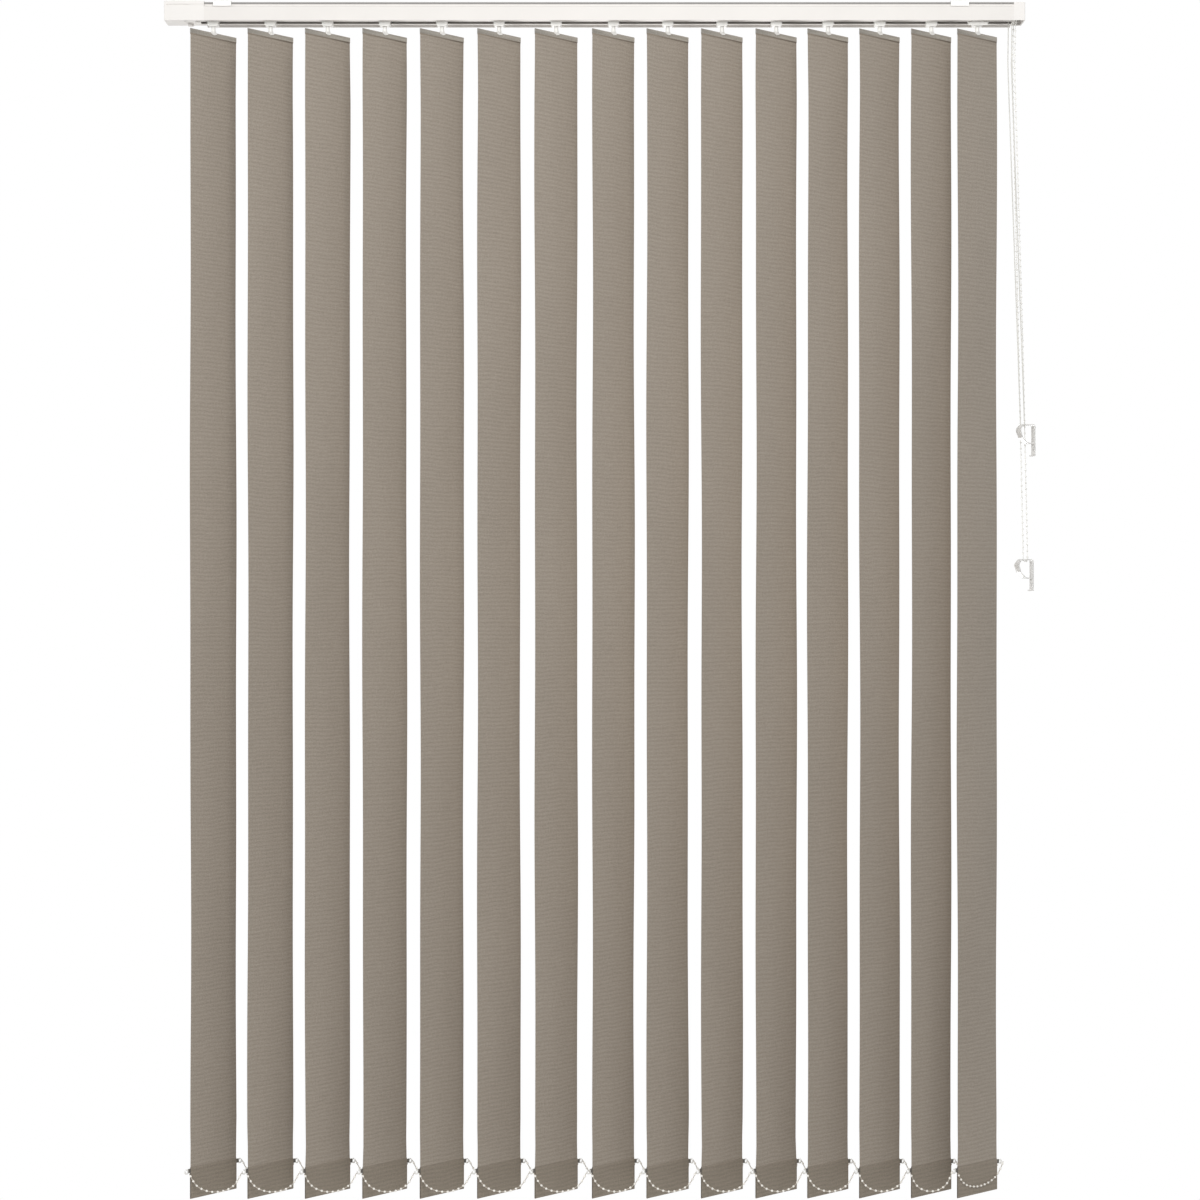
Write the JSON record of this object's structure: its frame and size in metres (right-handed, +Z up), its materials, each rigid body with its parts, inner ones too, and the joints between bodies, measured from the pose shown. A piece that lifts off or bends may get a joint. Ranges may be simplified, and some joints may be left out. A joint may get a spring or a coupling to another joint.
{
  "type": "vertical blind",
  "caption": "Vertical blind: fabric slats on sliding carriers in a headrail, tilted by a bead chain, drawn by a traverse cord, with weighted ends joined by bottom chains.",
  "frame": {"origin": "on the ceiling, midway between the screws of the two ceiling brackets", "axes": "+X along the headrail towards the control end, +Y away from the room, +Z up"},
  "size_m": [1.8234, 0.1257, 2.5],
  "materials": {
    "rail": "satin white powder coat",
    "end_units": "satin white",
    "brackets": "zinc plated",
    "rod": "mill",
    "wheels": "satin white",
    "carriers": "satin white",
    "slats": "woven beige",
    "fittings": "satin white",
    "bottom_chains": "cream",
    "cord": "braided off-white",
    "bead_chain": "off-white",
    "clips": "translucent white"
  },
  "bodies": {
    "frame": {"headrail": "rail", "return_cap": "end_units", "control_cap": "end_units", "ceiling_brackets": "brackets", "traverse_cord": "cord", "chain_loop": "bead_chain", "safety_clips": "clips", "carrier_15": "carriers"},
    "carriage_01": {"carrier_01": "carriers"},
    "carriage_02": {"carrier_02": "carriers"},
    "carriage_03": {"carrier_03": "carriers"},
    "carriage_04": {"carrier_04": "carriers"},
    "carriage_05": {"carrier_05": "carriers"},
    "carriage_06": {"carrier_06": "carriers"},
    "carriage_07": {"carrier_07": "carriers"},
    "carriage_08": {"carrier_08": "carriers"},
    "carriage_09": {"carrier_09": "carriers"},
    "carriage_10": {"carrier_10": "carriers"},
    "carriage_11": {"carrier_11": "carriers"},
    "carriage_12": {"carrier_12": "carriers"},
    "carriage_13": {"carrier_13": "carriers"},
    "carriage_14": {"carrier_14": "carriers"},
    "vane_01": {"slat_01": "slats", "slat_fittings_01": "fittings"},
    "vane_02": {"slat_02": "slats", "slat_fittings_02": "fittings"},
    "vane_03": {"slat_03": "slats", "slat_fittings_03": "fittings"},
    "vane_04": {"slat_04": "slats", "slat_fittings_04": "fittings"},
    "vane_05": {"slat_05": "slats", "slat_fittings_05": "fittings"},
    "vane_06": {"slat_06": "slats", "slat_fittings_06": "fittings"},
    "vane_07": {"slat_07": "slats", "slat_fittings_07": "fittings"},
    "vane_08": {"slat_08": "slats", "slat_fittings_08": "fittings"},
    "vane_09": {"slat_09": "slats", "slat_fittings_09": "fittings"},
    "vane_10": {"slat_10": "slats", "slat_fittings_10": "fittings"},
    "vane_11": {"slat_11": "slats", "slat_fittings_11": "fittings"},
    "vane_12": {"slat_12": "slats", "slat_fittings_12": "fittings"},
    "vane_13": {"slat_13": "slats", "slat_fittings_13": "fittings"},
    "vane_14": {"slat_14": "slats", "slat_fittings_14": "fittings"},
    "vane_15": {"slat_15": "slats", "slat_fittings_15": "fittings", "bottom_chain_end": "bottom_chains"},
    "tilt_rod": {"tilt_rod": "rod", "chain_sprocket": "wheels"},
    "return_pulley": {"return_pulley": "wheels"},
    "cord_pulley_front": {"cord_pulley_front": "wheels"},
    "cord_pulley_back": {"cord_pulley_back": "wheels"},
    "bottom_chain_front": {"bottom_chain_front": "bottom_chains"},
    "bottom_chain_back": {"bottom_chain_back": "bottom_chains"}
  },
  "joints": [
    {"name": "traverse", "type": "slide", "parent": "frame", "child": "carriage_01", "axis": [1, 0, 0], "range_m": [0, 1.203], "deforming": ["bottom_chain_front", "bottom_chain_back"]},
    {"name": "traverse_02", "type": "slide", "parent": "frame", "child": "carriage_02", "axis": [1, 0, 0], "range_m": [0, 1.1135]},
    {"name": "traverse_03", "type": "slide", "parent": "frame", "child": "carriage_03", "axis": [1, 0, 0], "range_m": [0, 1.0235]},
    {"name": "traverse_04", "type": "slide", "parent": "frame", "child": "carriage_04", "axis": [1, 0, 0], "range_m": [0, 0.9335]},
    {"name": "traverse_05", "type": "slide", "parent": "frame", "child": "carriage_05", "axis": [1, 0, 0], "range_m": [0, 0.8435]},
    {"name": "traverse_06", "type": "slide", "parent": "frame", "child": "carriage_06", "axis": [1, 0, 0], "range_m": [0, 0.7535]},
    {"name": "traverse_07", "type": "slide", "parent": "frame", "child": "carriage_07", "axis": [1, 0, 0], "range_m": [0, 0.6635]},
    {"name": "traverse_08", "type": "slide", "parent": "frame", "child": "carriage_08", "axis": [1, 0, 0], "range_m": [0, 0.5735]},
    {"name": "traverse_09", "type": "slide", "parent": "frame", "child": "carriage_09", "axis": [1, 0, 0], "range_m": [0, 0.488]},
    {"name": "traverse_10", "type": "slide", "parent": "frame", "child": "carriage_10", "axis": [1, 0, 0], "range_m": [0, 0.4025]},
    {"name": "traverse_11", "type": "slide", "parent": "frame", "child": "carriage_11", "axis": [1, 0, 0], "range_m": [0, 0.317]},
    {"name": "traverse_12", "type": "slide", "parent": "frame", "child": "carriage_12", "axis": [1, 0, 0], "range_m": [0, 0.2356]},
    {"name": "traverse_13", "type": "slide", "parent": "frame", "child": "carriage_13", "axis": [1, 0, 0], "range_m": [0, 0.1542]},
    {"name": "traverse_14", "type": "slide", "parent": "frame", "child": "carriage_14", "axis": [1, 0, 0], "range_m": [0, 0.0729]},
    {"name": "return_pulley_spin", "type": "hinge", "parent": "frame", "child": "return_pulley", "pos_m": [-0.872, -0.00625, -0.021], "axis": [0, 0, 1], "continuous": true},
    {"name": "cord_pulley_front_spin", "type": "hinge", "parent": "frame", "child": "cord_pulley_front", "pos_m": [0.8765, -0.0105, -0.027], "axis": [0, 1, 0], "continuous": true},
    {"name": "cord_pulley_back_spin", "type": "hinge", "parent": "frame", "child": "cord_pulley_back", "pos_m": [0.8705, -0.002, -0.027], "axis": [0, 1, 0], "continuous": true},
    {"name": "tilt", "type": "hinge", "parent": "frame", "child": "vane_15", "pos_m": [0.811, 0, -0.062], "axis": [0, 0, 1], "range_deg": [-28, 116]},
    {"name": "tilt_01", "type": "hinge", "parent": "carriage_01", "child": "vane_01", "pos_m": [-0.793, 0, -0.062], "axis": [0, 0, 1], "range_deg": [-29, 117]},
    {"name": "tilt_02", "type": "hinge", "parent": "carriage_02", "child": "vane_02", "pos_m": [-0.673, 0, -0.062], "axis": [0, 0, 1], "range_deg": [-29, 117]},
    {"name": "tilt_03", "type": "hinge", "parent": "carriage_03", "child": "vane_03", "pos_m": [-0.553, 0, -0.062], "axis": [0, 0, 1], "range_deg": [-29, 117]},
    {"name": "tilt_04", "type": "hinge", "parent": "carriage_04", "child": "vane_04", "pos_m": [-0.433, 0, -0.062], "axis": [0, 0, 1], "range_deg": [-29, 117]},
    {"name": "tilt_05", "type": "hinge", "parent": "carriage_05", "child": "vane_05", "pos_m": [-0.313, 0, -0.062], "axis": [0, 0, 1], "range_deg": [-29, 117]},
    {"name": "tilt_06", "type": "hinge", "parent": "carriage_06", "child": "vane_06", "pos_m": [-0.193, 0, -0.062], "axis": [0, 0, 1], "range_deg": [-29, 117]},
    {"name": "tilt_07", "type": "hinge", "parent": "carriage_07", "child": "vane_07", "pos_m": [-0.073, 0, -0.062], "axis": [0, 0, 1], "range_deg": [-29, 117]},
    {"name": "tilt_08", "type": "hinge", "parent": "carriage_08", "child": "vane_08", "pos_m": [0.047, 0, -0.062], "axis": [0, 0, 1], "range_deg": [-29, 117]},
    {"name": "tilt_09", "type": "hinge", "parent": "carriage_09", "child": "vane_09", "pos_m": [0.161, 0, -0.062], "axis": [0, 0, 1], "range_deg": [-29, 117]},
    {"name": "tilt_10", "type": "hinge", "parent": "carriage_10", "child": "vane_10", "pos_m": [0.275, 0, -0.062], "axis": [0, 0, 1], "range_deg": [-29, 117]},
    {"name": "tilt_11", "type": "hinge", "parent": "carriage_11", "child": "vane_11", "pos_m": [0.389, 0, -0.062], "axis": [0, 0, 1], "range_deg": [-29, 117]},
    {"name": "tilt_12", "type": "hinge", "parent": "carriage_12", "child": "vane_12", "pos_m": [0.4975, 0, -0.062], "axis": [0, 0, 1], "range_deg": [-29, 117]},
    {"name": "tilt_13", "type": "hinge", "parent": "carriage_13", "child": "vane_13", "pos_m": [0.606, 0, -0.062], "axis": [0, 0, 1], "range_deg": [-29, 117]},
    {"name": "tilt_14", "type": "hinge", "parent": "carriage_14", "child": "vane_14", "pos_m": [0.7145, 0, -0.062], "axis": [0, 0, 1], "range_deg": [-29, 117]},
    {"name": "rod_turn", "type": "hinge", "parent": "frame", "child": "tilt_rod", "pos_m": [0.891, 0.0095, -0.027], "axis": [1, 0, 0], "continuous": true},
    {"name": "bottom_chain_front_swing", "type": "hinge", "parent": "vane_08", "child": "bottom_chain_front", "pos_m": [0.00081, -0.04784, -2.4425], "axis": [0, 0, 1], "range_deg": [-117, 29]},
    {"name": "bottom_chain_back_swing", "type": "hinge", "parent": "vane_08", "child": "bottom_chain_back", "pos_m": [0.09319, 0.04784, -2.4425], "axis": [0, 0, 1], "range_deg": [-117, 29]}
  ],
  "couplings": [
    {"joint": "traverse_02", "follows": "traverse", "ratio": 0.92519},
    {"joint": "traverse_03", "follows": "traverse", "ratio": 0.85037},
    {"joint": "traverse_04", "follows": "traverse", "ratio": 0.77556},
    {"joint": "traverse_05", "follows": "traverse", "ratio": 0.70075},
    {"joint": "traverse_06", "follows": "traverse", "ratio": 0.62594},
    {"joint": "traverse_07", "follows": "traverse", "ratio": 0.55112},
    {"joint": "traverse_08", "follows": "traverse", "ratio": 0.47631},
    {"joint": "traverse_09", "follows": "traverse", "ratio": 0.40524},
    {"joint": "traverse_10", "follows": "traverse", "ratio": 0.33416},
    {"joint": "traverse_11", "follows": "traverse", "ratio": 0.26309},
    {"joint": "traverse_12", "follows": "traverse", "ratio": 0.19545},
    {"joint": "traverse_13", "follows": "traverse", "ratio": 0.12781},
    {"joint": "traverse_14", "follows": "traverse", "ratio": 0.060162},
    {"joint": "return_pulley_spin", "follows": "traverse", "rad_per_m": 235.29},
    {"joint": "cord_pulley_front_spin", "follows": "traverse", "rad_per_m": 166.67},
    {"joint": "cord_pulley_back_spin", "follows": "traverse", "rad_per_m": -166.67},
    {"joint": "tilt_01", "follows": "tilt", "ratio": 1},
    {"joint": "tilt_02", "follows": "tilt", "ratio": 1},
    {"joint": "tilt_03", "follows": "tilt", "ratio": 1},
    {"joint": "tilt_04", "follows": "tilt", "ratio": 1},
    {"joint": "tilt_05", "follows": "tilt", "ratio": 1},
    {"joint": "tilt_06", "follows": "tilt", "ratio": 1},
    {"joint": "tilt_07", "follows": "tilt", "ratio": 1},
    {"joint": "tilt_08", "follows": "tilt", "ratio": 1},
    {"joint": "tilt_09", "follows": "tilt", "ratio": 1},
    {"joint": "tilt_10", "follows": "tilt", "ratio": 1},
    {"joint": "tilt_11", "follows": "tilt", "ratio": 1},
    {"joint": "tilt_12", "follows": "tilt", "ratio": 1},
    {"joint": "tilt_13", "follows": "tilt", "ratio": 1},
    {"joint": "tilt_14", "follows": "tilt", "ratio": 1},
    {"joint": "rod_turn", "follows": "tilt", "ratio": 12},
    {"joint": "bottom_chain_front_swing", "follows": "tilt", "ratio": -1},
    {"joint": "bottom_chain_back_swing", "follows": "tilt", "ratio": -1}
  ]
}
